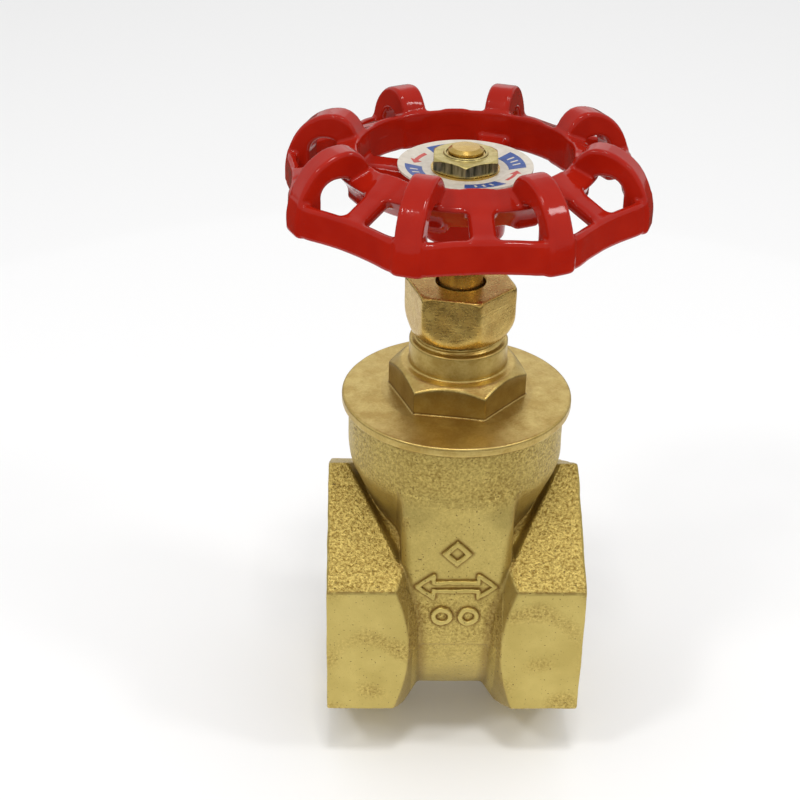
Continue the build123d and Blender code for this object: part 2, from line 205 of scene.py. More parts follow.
def hexagon(u, v, half, k=0.0):
    """A hexagon with flats square to u."""
    u, v = np.abs(u), np.abs(v)
    return hi(u, 0.5 * u + sqrt(0.75) * v, k) - half


def turned_hexagon(x, y, across_flats, corner_azimuth, k):
    """A hexagon round the stem with a corner at an azimuth from -Y towards +X."""
    angle = radians(corner_azimuth - 90 + 30)
    u = x * cos(angle) + y * sin(angle)
    v = y * cos(angle) - x * sin(angle)
    return hexagon(u, v, across_flats / 2, k)


def rounded_box(u, v, half_u, half_v, r):
    qu = np.abs(u) - half_u + r
    qv = np.abs(v) - half_v + r
    outside = np.hypot(np.maximum(qu, 0), np.maximum(qv, 0))
    return outside + np.minimum(np.maximum(qu, qv), 0) - r


def stroke(u, v, a, b, r):
    """A line from a to b with round ends."""
    du, dv = b[0] - a[0], b[1] - a[1]
    t = np.clip(((u - a[0]) * du + (v - a[1]) * dv) / (du * du + dv * dv), 0, 1)
    return np.hypot(u - a[0] - t * du, v - a[1] - t * dv) - r


def lumps(x, y, z, size, seed):
    """A smooth uneven field between about -1 and 1 with bumps of a given size."""
    rng = np.random.default_rng(seed)
    total = 0
    for _ in range(7):
        direction = rng.normal(size=3)
        direction *= 2 * pi / size / np.linalg.norm(direction) * rng.uniform(0.7, 1.3)
        along = x * direction[0] + y * direction[1] + z * direction[2]
        total = total + np.sin(along + rng.uniform(0, 6.3))
    return total / 3.5


# ---- meshing a field ----
def grid_values(field, low, step, counts):
    axes = [low[i] + step * np.arange(counts[i]) for i in range(3)]
    values = np.empty(counts, np.float32)
    for start in range(0, counts[0], 16):
        block = np.meshgrid(axes[0][start : start + 16], axes[1], axes[2], indexing="ij")
        values[start : start + 16] = field(*block)
    return values


def surface_net(field, low, high, step):
    """Points and quads of the surface where a field is 0, one point in each cell it crosses."""
    low = np.array(low, float) - 1.5 * step
    counts = tuple(np.ceil((np.array(high) + 1.5 * step - low) / step).astype(int) + 1)
    values = grid_values(field, low, step, counts)
    inside = values < 0
    cells = np.array(counts) - 1
    strides = np.array([cells[1] * cells[2], cells[2], 1])
    owners, crossings, quads = [], [], []
    for axis in range(3):
        a = [slice(None)] * 3
        b = [slice(None)] * 3
        a[axis], b[axis] = slice(0, -1), slice(1, None)
        a, b = tuple(a), tuple(b)
        crossed = inside[a] != inside[b]
        where = np.argwhere(crossed)
        point = where.astype(float)
        point[:, axis] += values[a][crossed] / (values[a][crossed] - values[b][crossed])
        one, two = (axis + 1) % 3, (axis + 2) % 3
        around = []
        for s, t in ((0, 0), (1, 0), (1, 1), (0, 1)):
            cell = where.copy()
            cell[:, one] -= s
            cell[:, two] -= t
            around.append(cell @ strides)
            owners.append(around[-1])
            crossings.append(point)
        ring = np.stack(around, 1)
        quads.append(np.where(inside[a][crossed][:, None], ring[:, ::-1], ring)[:, ::-1])
    ids, index = np.unique(np.concatenate(owners), return_inverse=True)
    points = np.zeros((len(ids), 3))
    share = np.bincount(index)
    crossings = np.concatenate(crossings)
    for i in range(3):
        points[:, i] = np.bincount(index, crossings[:, i]) / share
    points = low + points * step
    return points, np.searchsorted(ids, np.concatenate(quads))


def slopes(field, points, h):
    """The field and its gradient at points."""
    p = points.T
    grad = []
    for i in range(3):
        d = np.zeros((3, 1))
        d[i] = h
        grad.append((field(*(p + d)) - field(*(p - d))) / (2 * h))
    return field(*p), np.stack(grad, 1)


def field_piece(name, field, low, high, step, material, body, *nodes, layers=None):
    """A piece meshed from a field in the valve's frame, with exact shading normals.
    layers gives the material a value at each point, by name."""
    points, quads = surface_net(field, low, high, step)
    for _ in range(2):
        value, grad = slopes(field, points, step * 0.05)
        size = np.maximum((grad**2).sum(1), 0.25)
        move = -(value / size)[:, None] * grad
        points += np.clip(move, -0.5 * step, 0.5 * step)
    _, grad = slopes(field, points, step * 0.2)
    normals = grad / np.linalg.norm(grad, axis=1)[:, None]
    mesh = bpy.data.meshes.new(name)
    co = (points + (0, 0, FLOW_Z)) * MM
    mesh.vertices.add(len(co))
    mesh.vertices.foreach_set("co", co.astype(np.float32).ravel())
    mesh.loops.add(quads.size)
    mesh.loops.foreach_set("vertex_index", quads.astype(np.int32).ravel())
    mesh.polygons.add(len(quads))
    mesh.polygons.foreach_set("loop_start", np.arange(0, quads.size, 4, dtype=np.int32))
    mesh.polygons.foreach_set("loop_total", np.full(len(quads), 4, np.int32))
    mesh.update(calc_edges=True)
    mesh.validate()
    mesh.shade_smooth()
    mesh.normals_split_custom_set_from_vertices(normals)
    for key, measure in (layers or {}).items():
        layer = mesh.attributes.new(key, "FLOAT", "POINT")
        layer.data.foreach_set("value", measure(points, normals).astype(np.float32))
    return finish_piece(name, mesh, material, body, *nodes)


def closed_mesh(name, verts, faces):
    """A mesh whose faces all look outwards."""
    mesh = bpy.data.meshes.new(name)
    mesh.from_pydata(verts, [], faces)
    bm = bmesh.new()
    bm.from_mesh(mesh)
    bmesh.ops.recalc_face_normals(bm, faces=bm.faces)
    bm.to_mesh(mesh)
    bm.free()
    return mesh


def finish_piece(name, mesh, material, body, *nodes):
    """The object for a mesh, with its look, its body and the nodes it replaces."""
    piece = bpy.data.objects.new(name, mesh)
    bpy.context.scene.collection.objects.link(piece)
    piece.data.materials.append(material)
    kind = material.name.split(".")[0]
    SLOTS.get(kind, kind)
    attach(piece, body)
    if nodes:
        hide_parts(*nodes)
    return piece


# ---- materials ----
SLOTS = {
    "dull_brass": "machined_brass", "plate_white": "printed_plate", "plate_blue": "printed_plate",
    "plate_red": "printed_plate",
}


class Nodes:
    """A material's node tree with short helpers."""

    def __init__(self, name):
        self.material = bpy.data.materials.new(name)
        self.material.use_nodes = True
        self.tree = self.material.node_tree
        self.shader = self.tree.nodes["Principled BSDF"]
        self.place = self.add("ShaderNodeTexCoord").outputs["Object"]

    def add(self, kind, **values):
        node = self.tree.nodes.new(kind)
        for key, value in values.items():
            setattr(node, key, value)
        return node

    def link(self, source, target):
        self.tree.links.new(source, target)

    def put(self, target, source):
        if isinstance(source, (int, float, tuple)):
            target.default_value = source
        else:
            self.link(source, target)

    def set(self, **values):
        for key, value in values.items():
            self.put(self.shader.inputs[key.replace("_", " ")], value)

    def attribute(self, name):
        return self.add("ShaderNodeAttribute", attribute_name=name).outputs["Fac"]

    def noise(self, size_mm, detail=3.0, roughness=0.55, stretch=(1, 1, 1)):
        where = self.place
        if stretch != (1, 1, 1):
            mapping = self.add("ShaderNodeMapping")
            self.link(where, mapping.inputs["Vector"])
            mapping.inputs["Scale"].default_value = stretch
            where = mapping.outputs["Vector"]
        node = self.add("ShaderNodeTexNoise")
        self.link(where, node.inputs["Vector"])
        node.inputs["Scale"].default_value = 1 / (size_mm * MM)
        node.inputs["Detail"].default_value = detail
        node.inputs["Roughness"].default_value = roughness
        return node.outputs["Fac"]

    def fit(self, source, low, high, to_low=0.0, to_high=1.0):
        node = self.add("ShaderNodeMapRange")
        self.link(source, node.inputs["Value"])
        ends = {"From Min": low, "From Max": high, "To Min": to_low, "To Max": to_high}
        for socket, value in ends.items():
            self.put(node.inputs[socket], value)
        return node.outputs["Result"]

    def math(self, operation, a, b=0.0):
        node = self.add("ShaderNodeMath", operation=operation)
        self.put(node.inputs[0], a)
        self.put(node.inputs[1], b)
        return node.outputs["Value"]

    def mix(self, factor, a, b):
        node = self.add("ShaderNodeMix", data_type="RGBA")
        self.put(node.inputs["Factor"], factor)
        self.put(node.inputs[6], a)
        self.put(node.inputs[7], b)
        return node.outputs[2]

    def bump(self, height, depth_mm, before=None):
        node = self.add("ShaderNodeBump")
        self.link(height, node.inputs["Height"])
        node.inputs["Distance"].default_value = depth_mm * MM
        if before is not None:
            self.link(before, node.inputs["Normal"])
        return node.outputs["Normal"]


def cast_brass():
    """Blasted cast brass: fine grit, coarse on the faces marked gritty, with small pits."""
    m = Nodes("cast_brass")
    grit = m.attribute("grit")
    fine = m.noise(0.26, 2, 0.6)
    coarse = m.noise(0.6, 3, 0.68)
    cloud = m.noise(9.0, 3)
    pits = m.fit(m.noise(0.5, 1, 0.4), 0.25, 0.31)
    pale = m.mix(m.fit(cloud, 0.35, 0.65), (0.51, 0.395, 0.115, 1), (0.60, 0.475, 0.15, 1))
    warm = m.mix(m.fit(coarse, 0.34, 0.66), (0.25, 0.155, 0.028, 1), (0.73, 0.565, 0.17, 1))
    colour = m.mix(grit, pale, warm)
    colour = m.mix(pits, (0.22, 0.15, 0.045, 1), colour)
    # painted shade and dark reflection: the shade attribute pulls the casting's colour towards dark
    # brown
    colour = m.mix(m.math("MULTIPLY", m.attribute("shade"), 0.9), colour, (0.19, 0.10, 0.022, 1))
    m.set(Base_Color=colour, Metallic=0.85, Roughness=m.fit(fine, 0.3, 0.7, 0.34, 0.48))
    depth = m.math("MULTIPLY", coarse, m.fit(grit, 0, 1, 0.1, 1.0))
    normal = m.bump(depth, 0.34)
    normal = m.bump(fine, 0.045, normal)
    m.set(Normal=m.bump(pits, 0.05, normal))
    return m.material


def turned_brass(name, tint_a, tint_b, roughness, lines=0.02):
    """Machined brass: faint tool lines round the stem axis and a little mottling."""
    m = Nodes(name)
    mottle = m.noise(4.0, 3)
    speck = m.fit(m.noise(0.5, 2, 0.6), 0.3, 0.7, -0.2, 0.2)
    lines_noise = m.noise(0.35, 2, 0.5, (0.05, 0.05, 1.0))
    colour = m.mix(m.math("ADD", m.fit(mottle, 0.35, 0.68), speck), tint_a, tint_b)
    # painted shade and dark reflection: the shade attribute, set on the bonnet only, pulls the
    # colour towards dark brown
    colour = m.mix(m.attribute("shade"), colour, (0.20, 0.11, 0.03, 1))
    m.set(Base_Color=colour, Metallic=0.95)
    m.set(Roughness=m.fit(m.noise(1.2, 3), 0.3, 0.7, roughness - 0.05, roughness + 0.08))
    normal = m.bump(lines_noise, lines)
    m.set(Normal=m.bump(m.noise(0.45, 3, 0.6), 0.03, normal))
    return m.material


def dull_brass():
    """The wheel nut: pale top, dark drawn sides with upright streaks."""
    m = Nodes("dull_brass")
    sides = m.attribute("sides")
    streaks = m.noise(0.8, 3, 0.6, (1, 1, 0.12))
    pale = m.mix(m.fit(m.noise(1.5, 3), 0.35, 0.65), (0.42, 0.34, 0.11, 1), (0.56, 0.46, 0.18, 1))
    dark = m.mix(m.fit(streaks, 0.38, 0.66), (0.045, 0.042, 0.016, 1), (0.26, 0.22, 0.12, 1))
    m.set(Base_Color=m.mix(sides, pale, dark), Metallic=0.8)
    m.set(Roughness=m.fit(m.noise(0.9, 2), 0.3, 0.7, 0.26, 0.42))
    m.set(Normal=m.bump(m.noise(0.5, 3), 0.03))
    return m.material


def red_enamel():
    """Thick glossy red enamel with a faint orange peel."""
    m = Nodes("red_enamel")
    cloud = m.fit(m.noise(7.0, 2), 0.35, 0.65)
    colour = m.mix(cloud, (0.325, 0.009, 0.003, 1), (0.36, 0.012, 0.004, 1))
    m.set(Base_Color=colour, Metallic=0.0, Roughness=m.fit(m.noise(2.0, 2), 0.3, 0.7, 0.07, 0.13))
    m.shader.inputs["Specular IOR Level"].default_value = 0.2
    m.set(Normal=m.bump(m.noise(2.2, 2, 0.4), 0.06))
    return m.material


def printed(name, colour_a, colour_b):
    """A plain satin colour, for print, plastic and fibre."""
    m = Nodes(name)
    colour = m.mix(m.fit(m.noise(1.5, 3), 0.35, 0.65), colour_a, colour_b)
    m.set(Base_Color=colour, Metallic=0.0, Roughness=m.fit(m.noise(0.8, 2), 0.3, 0.7, 0.28, 0.42))
    m.set(Normal=m.bump(m.noise(0.5, 2), 0.01))
    return m.material


CAST = cast_brass()
TURNED = turned_brass("turned_brass", (0.48, 0.33, 0.09, 1), (0.62, 0.47, 0.16, 1), 0.34)
BRIGHT = turned_brass("machined_brass", (0.50, 0.32, 0.08, 1), (0.60, 0.42, 0.12, 1), 0.26)
DULL = dull_brass()
RED = red_enamel()
WHITE = printed("plate_white", (0.53, 0.48, 0.40, 1), (0.62, 0.57, 0.48, 1))
BLUE = printed("plate_blue", (0.006, 0.045, 0.22, 1), (0.012, 0.07, 0.28, 1))
RED_INK = printed("plate_red", (0.45, 0.03, 0.02, 1), (0.50, 0.05, 0.03, 1))
PTFE = printed("ptfe", (0.80, 0.80, 0.77, 1), (0.86, 0.86, 0.84, 1))
FIBRE = printed("fibre", (0.10, 0.07, 0.04, 1), (0.16, 0.12, 0.07, 1))


# ---- the cast body ----
def mark_distance(u, v):
    """Distance to plain marks: a lozenge, an outlined double arrow, and two rings below it."""
    a = np.abs(u)
    b = np.abs(v - 15.0)
    d = np.abs(a + np.abs(v - 23.6) - 2.5) * 0.7 - MARK_HALF
    for start, end in (((0, 1.1), (4.9, 1.1)), ((4.9, 1.1), (4.9, 2.9)), ((4.9, 2.9), (8.5, 0))):
        d = np.minimum(d, stroke(a, b, start, end, MARK_HALF * 0.85))
    return np.minimum(d, np.abs(np.hypot(a - 2.9, v - 7.1) - 1.8) - MARK_HALF)


def cast_marks():
    """The raised marks, the same on both walls."""
    for side, name in ((-1, "cast_marks_front"), (1, "cast_marks_back")):
        def field(x, y, z):
            raised = y * side - WAIST_Y - MARK_HEIGHT + 0.12 * lumps(x, y, z, 3.0, 31)
            flat = mark_distance(x, z) + 0.06 * lumps(x, y, z, 1.6, 32)
            return hi(hi(flat, raised, 0.35), WAIST_Y - MARK_ROOT - y * side)

        near, far = sorted((side * (WAIST_Y - MARK_ROOT), side * (WAIST_Y + MARK_HEIGHT)))
        step = 0.2
        field_piece(name, field, (-9.4, near, 4.3), (9.4, far, 27.0), step, CAST, "valve_body")


def body_parts(x, y, z):
    """The two spanner ends and the waist with the neck, before they are blended."""
    ax = np.abs(x)
    rho = np.hypot(y, z)
    r = np.hypot(x, y)
    shoulder = (SHOULDER_X + SHOULDER_SLOPE * (rho - FLAT_Y) - ax) / sqrt(1 + SHOULDER_SLOPE**2)
    nut = hi(hexagon(y, z, FLAT_Y, 0.5), shoulder, 0.4)
    cleared = CLEARED_FOOT[0] + CLEARED_SLOPE * (z - CLEARED_FOOT[1]) - ax
    cleared = cleared / sqrt(1 + CLEARED_SLOPE**2)
    nut = hi(nut, lo(cleared, rho - SLEEVE_R - CLEARED_RIM, 0.8), 0.35)
    nut = hi(nut, ax - HALF_LENGTH, 0.5)
    nut = hi(nut, (ax - HALF_LENGTH + rho - FLOW_Z + 0.3) * sqrt(0.5), 0.3)
    half_x = WAIST_X[0] + (WAIST_X[1] - WAIST_X[0]) * ramp(z, 0, WAIST_WIDE_Z)
    curved = r - np.maximum(CURVED_FOOT[0] - CURVED_SLOPE * (z - CURVED_FOOT[1]), BARREL_R)
    walls = hi(rounded_box(x, y, half_x, WAIST_Y, WAIST_CORNER), curved, 1.0)
    walls = hi(walls, slab(z, 0, NECK_Z[0]), 0.5)
    flare = (r - NECK_FOOT[0] - NECK_SLOPE * (z - NECK_FOOT[1])) * 0.91
    neck = hi(hi(r - BARREL_R, flare, 1.0), slab(z, NECK_FOOT[1], NECK_Z[1]), 0.5)
    barrel = np.maximum(rho - BARREL_R, ax - SHOULDER_X)
    return nut, lo(lo(walls, neck, 2.2), barrel, 1.6)


def body_outside(x, y, z):
    """The casting's skin, with the fine ledge where the walls meet the neck."""
    nut, middle = body_parts(x, y, z)
    ledge = np.hypot(np.hypot(x, y) - BARREL_R, z - LEDGE_Z) - LEDGE_R
    ledge = np.maximum(ledge, np.abs(x) - LEDGE_HALF_X)
    shell = lo(nut, lo(middle, ledge, 0.4), 0.7)
    return shell + 0.05 * lumps(x, y, z, 7.0, 3) + 0.02 * lumps(x, y, z, 2.4, 5)


def body_inside(x, y, z):
    """The waterway, the chamber with its seats and ribs, the neck's bore and the thread sleeves."""
    ax, ay = np.abs(x), np.abs(y)
    rho = np.hypot(y, z)
    r = np.hypot(x, y)
    upper = hi(ay - CHAMBER_R, slab(z, 0, CHAMBER_TOP), 1)
    chamber = np.maximum(ax - CHAMBER_X, np.minimum(rho - CHAMBER_R, upper))
    chamber = np.minimum(chamber, np.maximum(r - NECK_BORE_R, NECK_BORE_Z - z))
    seats = np.maximum(rho - SEAT_R, GATE_HALF + 0.05 + z * TAPER - ax)
    ribs = np.maximum(np.maximum(ax - RIB_HALF_X, RIB_Y - ay), slab(z, RIB_FOOT_Z, CHAMBER_TOP))
    chamber = np.maximum(chamber, -np.minimum(seats, ribs))
    space = np.minimum(chamber, rho - BORE_R)
    thread = np.maximum(rho - SLEEVE_R, THREAD_BOTTOM_X - ax)
    mouth = np.maximum(rho - SLEEVE_R - 0.4, (rho - SLEEVE_R + HALF_LENGTH - 0.3 - ax) * sqrt(0.5))
    return np.minimum(np.minimum(space, thread), mouth)


def body_field(x, y, z):
    return hi(body_outside(x, y, z), -body_inside(x, y, z), 0.3)


def body_grit(points, normals):
    """Coarse grit on the upper spanner faces, the neck and in patches, fine elsewhere."""
    x, y, z = points.T
    uneven = 0.5 + 0.5 * lumps(x, y, z, 11.0, 8)
    end = np.abs(x) > SHOULDER_X
    upper = ramp(normals[:, 2], 0.55, 0.75) * end * (np.abs(normals[:, 0]) < 0.25) * (z > 15.2)
    patch = ramp(uneven, 0.45, 0.95) * 0.75
    lower_band = ramp(z, -8, 3) * (1 - ramp(z, 8, 17))
    middle = (0.25 + 0.75 * np.maximum(lower_band, ramp(z, 33, 38))) * (0.55 + 0.45 * uneven)
    return np.clip(np.where(end & (z < 32), np.maximum(upper, patch), middle), 0, 1)


def body_shade(points, normals):
    """Painted shade in the inner corners and on the faces that look down, painted shade and dark
    reflection on the faces that look at the stem or along the flow, and darkening beside the raised
    marks, along the spanner flats' upper edge and at the neck's rim."""
    x, y, z = points.T
    ay = np.abs(y)
    nut, middle = body_parts(x, y, z)
    corner = 0.6 * (1 - ramp(np.maximum(nut, middle), 0.1, 1.8))
    ax = np.abs(x)
    inward = 0.42 * ramp(-normals[:, 0] * np.sign(x), 0.35, 0.7) * (ax < 24) * (ax > SHOULDER_X - 1)
    side = 0.35 * ramp(np.abs(normals[:, 0]), 0.4, 0.8) * (ax < 13) * (z > 0)
    under = 0.45 * ramp(-normals[:, 2], 0.1, 0.4) * (z > 18)
    marks = (1 - ramp(mark_distance(x, z), 0, 0.8)) * (ay > WAIST_Y - 1)
    ragged = 0.5 + 0.5 * lumps(x, y, z, 2.2, 41)
    edge = np.exp(-(((z - FLOW_Z / 2) / 0.22) ** 2)) * (ay > FLAT_Y - 0.6) * ramp(ragged, 0.1, 0.6)
    rim = 0.8 * ramp(z, NECK_Z[1] - 1.0, NECK_Z[1] - 0.3) * ragged
    shade = np.maximum(corner, np.maximum(inward, side + under))
    return np.clip(shade + 1.1 * marks + 0.7 * edge + rim, 0, 1)


def body_piece():
    high = (HALF_LENGTH, FLAT_Y, NECK_Z[1])
    low = (-HALF_LENGTH, -FLAT_Y, -FLOW_Z)
    step = 0.38
    layers = {"grit": body_grit, "shade": body_shade}
    field_piece(
        "body_casting", body_field, low, high, step, CAST, "valve_body", "body", layers=layers
    )


# ---- threads ----
def thread_tube(name, low, high):
    """A closed tube along the flow axis whose inner wall carries the helical pipe thread."""
    core, crest, back = THREAD_MAJOR_R, THREAD_MINOR_R, SLEEVE_R + THREAD_WALL
    turns, per_turn = 96, 12
    rows = int((high - low) / PIPE_PITCH * per_turn) + 1
    verts, faces = [], []
    for i in range(rows):
        along = low + (high - low) * i / (rows - 1)
        ends = min(along - low, high - along)
        fade = min(1.0, ends / (0.5 * PIPE_PITCH))
        for j in range(turns):
            angle = 2 * pi * j / turns
            phase = (along / PIPE_PITCH - angle / (2 * pi)) % 1.0
            wave = 1 - abs(2 * phase - 1)
            wave = min(max(1.35 * wave - 0.175, 0), 1)
            radius = core + (crest - core) * wave * fade
            verts.append((along, radius * cos(angle), radius * sin(angle)))
    for along in (high, low):
        for j in range(turns):
            angle = 2 * pi * j / turns
            verts.append((along, back * cos(angle), back * sin(angle)))
    loops = list(range(rows)) + [rows, rows + 1]
    for i in range(len(loops)):
        a, b = loops[i] * turns, loops[(i + 1) % len(loops)] * turns
        for j in range(turns):
            k = (j + 1) % turns
            faces.append((a + j, b + j, b + k, a + k))
    mesh = closed_mesh(name, [tuple(c * MM for c in v) for v in verts], faces)
    mesh.transform(Matrix.Translation((0, 0, FLOW_Z * MM)))
    mesh.shade_smooth()
    finish_piece(name, mesh, BRIGHT, "valve_body")


def pipe_threads():
    low, high = THREAD_BOTTOM_X + 0.2, HALF_LENGTH - 0.25
    thread_tube("outlet_pipe_thread", low, high)
    thread_tube("inlet_pipe_thread", -high, -low)


# ---- bonnet, gland nut and wheel nut ----
def gland_thread_radius(x, y, z):
    """The radius of the bonnet's outer thread, which runs out into the collar."""
    depth = GLAND_THREAD_DEPTH * ramp(z, COLLAR_TOP, COLLAR_TOP + 1)
    phase = (z / GLAND_PITCH - np.arctan2(y, x) / (2 * pi)) % 1.0
    wave = np.abs(2 * phase - 1)
    return GLAND_THREAD_R - depth * np.clip(1.5 * wave - 0.25, 0, 1)


def above_disc(r, z):
    """Height over the bonnet disc's top, which rises a little towards the stem."""
    return z - DISC_Z[1] - (DISC_R - r) * DISC_SLOPE


def bonnet_field(x, y, z):
    r = np.hypot(x, y)
    disc = hi(hi(r - DISC_R, DISC_Z[0] - z, 0.4), above_disc(r, z), 0.5)
    low, edge, top = BONNET_HEX_Z
    corner = BONNET_AF / 2 / cos(radians(30))
    lean = np.hypot(top - edge, corner - BONNET_TOP_R)
    cone = ((r - BONNET_TOP_R) * (top - edge) + (z - top) * (corner - BONNET_TOP_R)) / lean
    nut = hi(turned_hexagon(x, y, BONNET_AF, BONNET_TURN, 0.35), cone, 0.35)
    nut = hi(nut, slab(z, low - 1.5, top), 0.3)
    collar = hi(r - COLLAR_R, slab(z, low, COLLAR_TOP), 0.5)
    gland = hi(r - gland_thread_radius(x, y, z), slab(z, low, GLAND_THREAD_TOP), 0.4)
    outside = lo(lo(disc, nut, 0.3), lo(collar, gland, 0.3), 0.55)
    outside = np.minimum(outside, np.maximum(r - SPIGOT_R, slab(z, *SPIGOT_Z)))
    inside = np.minimum(r - STEM_R - STEM_GAP, np.maximum(r - PACKING_R, PACKING_FOOT - z))
    for radius, bore_top in BONNET_BORES:
        inside = np.minimum(inside, np.maximum(r - radius, z - bore_top))
    return np.maximum(outside, -inside) + 0.015 * lumps(x, y, z, 5.0, 11)


def bonnet_shade(points, normals):
    """Painted shade and dark reflection: heaviest at the foot of the spanner faces, lighter on
    them, faint on the disc.
    """
    x, y, z = points.T
    r = np.hypot(x, y)
    uneven = 1 + 0.12 * lumps(x, y, z, 5.0, 51)
    side = (z > DISC_Z[1] + 0.1) * (z < BONNET_HEX_Z[2] - 0.6) * (normals[:, 2] < 0.35)
    foot = np.exp(-(((above_disc(r, z) - 0.25) / 0.2) ** 2)) * (r < 16.5)
    disc = (z > DISC_Z[1] - 0.4) * (normals[:, 2] > 0.9) * (z < DISC_Z[1] + 0.8)
    return np.clip((0.5 * side + 0.8 * foot + 0.05 * disc) * uneven, 0, 1)


def gland_nut_field(x, y, z):
    r = np.hypot(x, y)
    low, high = GLAND_Z
    ball = np.hypot(r / GLAND_BALL[0], np.minimum(z - GLAND_BALL_Z, 0) / GLAND_BALL[1]) - 1
    nut = hi(turned_hexagon(x, y, GLAND_AF, GLAND_TURN, 0.5), ball * 10.5, 0.6)
    nut = hi(nut, (r - GLAND_CORNER_R + z - high + GLAND_CHAMFER) * sqrt(0.5), 0.4)
    nut = hi(nut, slab(z, low, high), 0.45)
    inside = np.minimum(np.maximum(r - GLAND_BORE[0], z - GLAND_BORE[1]), r - GLAND_HOLE_R)
    return hi(nut, -inside, 0.3) + 0.02 * lumps(x, y, z, 4.0, 12)


def wheel_nut_field(x, y, z):
    r = np.hypot(x, y)
    low, high = WHEEL_NUT_Z
    middle, half = (low + high) / 2, (high - low) / 2
    corner = WHEEL_NUT_AF / 2 / cos(radians(30))
    cone = (r - corner + 0.25) * 0.5 + (np.abs(z - middle) - half + 0.35) * sqrt(0.75)
    nut = hi(turned_hexagon(x, y, WHEEL_NUT_AF, WHEEL_NUT_TURN, 0.25), cone, 0.15)
    nut = hi(nut, np.abs(z - middle) - half, 0.15)
    lip = hi(r - WHEEL_NUT_LIP[0], slab(z, middle, high + WHEEL_NUT_LIP[1]), 0.25)
    return hi(lo(nut, lip, 0.3), WHEEL_NUT_BORE - r, 0.3) + 0.012 * lumps(x, y, z, 3.0, 13)


def nut_sides(points, normals):
    """1 on the wheel nut's drawn sides, fading out at a burred lower edge."""
    x, y, z = points.T
    burr = ramp(z, WHEEL_NUT_Z[0] + 0.25, WHEEL_NUT_Z[0] + 0.6 + 0.2 * lumps(x, y, z, 1.2, 61))
    return (1 - ramp(np.abs(normals[:, 2]), 0.25, 0.45)) * burr


def machined_pieces():
    fine = 0.3
    field_piece(
        "bonnet_turned", bonnet_field, (-DISC_R, -DISC_R, 40), (DISC_R, DISC_R, 72),
        fine, TURNED, "valve_body", "bonnet", layers={"shade": bonnet_shade},
    )
    field_piece(
        "gland_nut_turned", gland_nut_field, (-12.3, -12.3, GLAND_Z[0]), (12.3, 12.3, GLAND_Z[1]),
        fine, BRIGHT, "valve_body", "gland_nut",
    )
    field_piece(
        "wheel_nut_turned", wheel_nut_field,
        (-7.6, -7.6, WHEEL_NUT_Z[0]), (7.6, 7.6, WHEEL_NUT_Z[1] + 0.5),
        fine * 0.5, DULL, "spindle", "wheel_nut", layers={"sides": nut_sides},
    )


# ---- handwheel ----
def arch_side(u, z):
    """The outline of a loop seen from its side: a quarter of an ellipse either side of its peak."""
    peak_u, peak_z = ARCH_PEAK
    outside = u > peak_u
    span = np.where(outside, WHEEL_R - peak_u, peak_u - RING_R[0])
    drop = np.where(outside, ARCH_DROP[1], ARCH_DROP[0])
    return (np.hypot((u - peak_u) / span, np.maximum(z - peak_z + drop, 0) / drop) - 1) * span


def hollow():
    """Centre distance and radius of the circle that hollows the skirt between two lobes."""
    size = sqrt(WHEEL_R**2 + LOBE_HALF_W**2)
    across = WHEEL_R * cos(pi / 8) + LOBE_HALF_W * sin(pi / 8)
    distance = (VALLEY_R**2 - size**2) / (2 * (VALLEY_R - across))
    return distance, distance - VALLEY_R


HOLLOW = hollow()


def handwheel_field(x, y, z):
    """Eight lobes and loops round a roofed ring, on a hub with four spokes.
    u, w lie along and across a lobe, us, ws a valley, and uq, wq a spoke."""
    r = np.hypot(x, y)
    angle = np.arctan2(y, x) - FIRST_LOBE
    half_step = pi / 8
    folded = (angle + half_step) % (2 * half_step) - half_step
    u = r * np.cos(folded)
    w = np.abs(r * np.sin(folded))
    us = u * cos(half_step) + w * sin(half_step)
    ws = np.abs(w * cos(half_step) - u * sin(half_step))
    quarter = (angle + pi / 4) % (pi / 2) - pi / 4
    wq = np.abs(r * np.sin(quarter))
    uq = r * np.cos(quarter)

    roof = (z - RING_Z[1] + ROOF_FALL * (r - RING_TOP_R)) / sqrt(1 + ROOF_FALL**2)
    ring_out = np.minimum(RING_FOOT_R + 0.85 * (z - RING_Z[0]), RING_R[1])
    ring = hi(hi(RING_R[0] - r, (r - ring_out) * 0.76, 0.8), hi(roof, RING_Z[0] - z, 0.8), 0.9)

    hollow_d, hollow_r = HOLLOW
    lean_foot, lean_rise, lean_z = LOBE_LEAN
    lobe_r = WHEEL_R - lean_foot - lean_rise * ramp(z, lean_z, WHEEL_Z[1])
    star = hi(u - lobe_r, hollow_r - np.hypot(us - hollow_d, ws), 1.4)
    skirt = hi(hi(star, -(star + SKIRT_T), 0.6), slab(z, *WHEEL_Z), 1.0)

    strip = hi(ws - STRIP_HALF_W, np.maximum(roof, -roof - STRIP_DEPTH), 1.3)
    strip = hi(strip, slab(us, RING_TOP_R, VALLEY_R - 0.8), 0.3)

    bar = hi(arch_side(u, z), w - ARCH_HALF_W, 0.9)
    window = rounded_box(u - WINDOW_MIDDLE[0], z - WINDOW_MIDDLE[1], *WINDOW_HALF, WINDOW_CORNER)
    bar = hi(hi(bar, -window, 1.0), RING_Z[0] - z - LEG_DROP * ramp(u, *LEG_R), 0.8)

    hub = hi(r - HUB_R + HUB_TAPER * (HUB_Z[1] - z), slab(z, *HUB_Z), 0.8)
    spoke = hi(wq - SPOKE_HALF_W + SPOKE_TAPER * (uq - 9), np.abs(z - SPOKE_Z) - SPOKE_HALF_T, 1.6)
    spoke = hi(spoke, slab(uq, 0, RING_R[0] + 1), 0.2)

    wheel = lo(lo(ring, skirt, 1.0), strip, 1.0)
    wheel = lo(lo(wheel, bar, 0.8), lo(hub, spoke, 1.5), 1.3)
    socket = np.maximum(np.maximum(np.abs(x), np.abs(y)) - SOCKET_HALF, r - STEM_R - STEM_GAP)
    return np.maximum(wheel, -socket) + 0.03 * lumps(x, y, z, 6.0, 21) + 0.03


